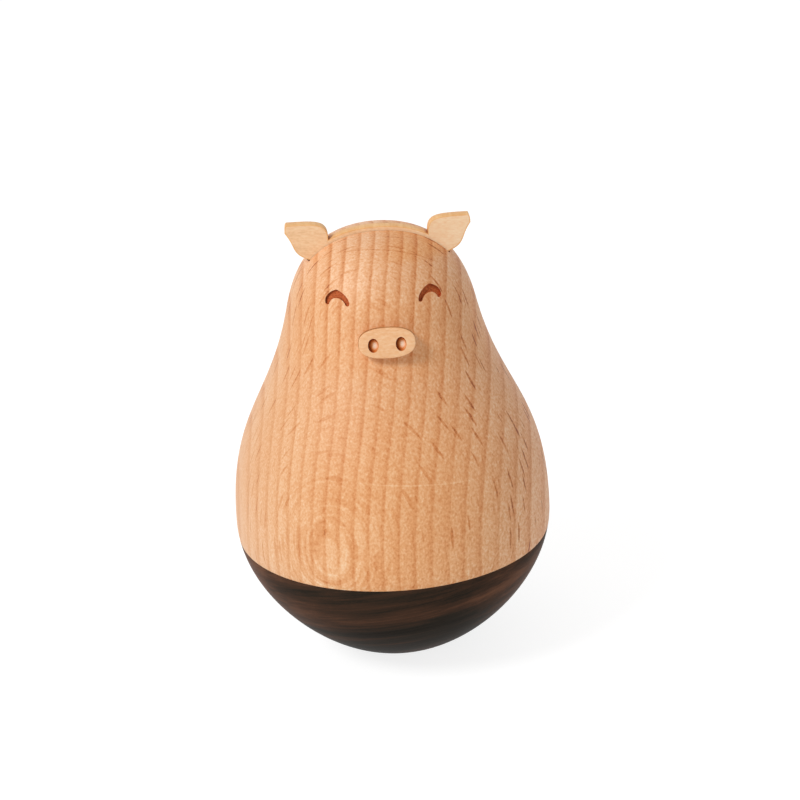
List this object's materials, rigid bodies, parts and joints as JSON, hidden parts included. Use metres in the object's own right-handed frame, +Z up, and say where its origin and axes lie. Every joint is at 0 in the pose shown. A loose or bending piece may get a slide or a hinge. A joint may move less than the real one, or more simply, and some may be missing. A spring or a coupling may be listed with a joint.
{
  "type": "tumbler toy",
  "caption": "Weighted wooden tumbler in the shape of a plain pig: a pear-shaped beech body on a round walnut base that rocks and rights itself, with let-in ear and snout plates.",
  "frame": {"origin": "middle of the small flat foot under the base, where the toy stands at rest", "axes": "+Z up along the axis of the turnings, the face looks to -Y, +X to the right as one looks at the face"},
  "size_m": [0.07, 0.07, 0.0996],
  "materials": {
    "beech": "satin",
    "walnut": "satin",
    "cut_plate": "matte",
    "steel": "satin",
    "disc_beech": "matte"
  },
  "bodies": {
    "root": {"body": "beech", "base": "walnut", "ear_plate": "cut_plate", "snout": "cut_plate", "counterweight": "steel", "joining_disc": "disc_beech"}
  },
  "joints": []
}
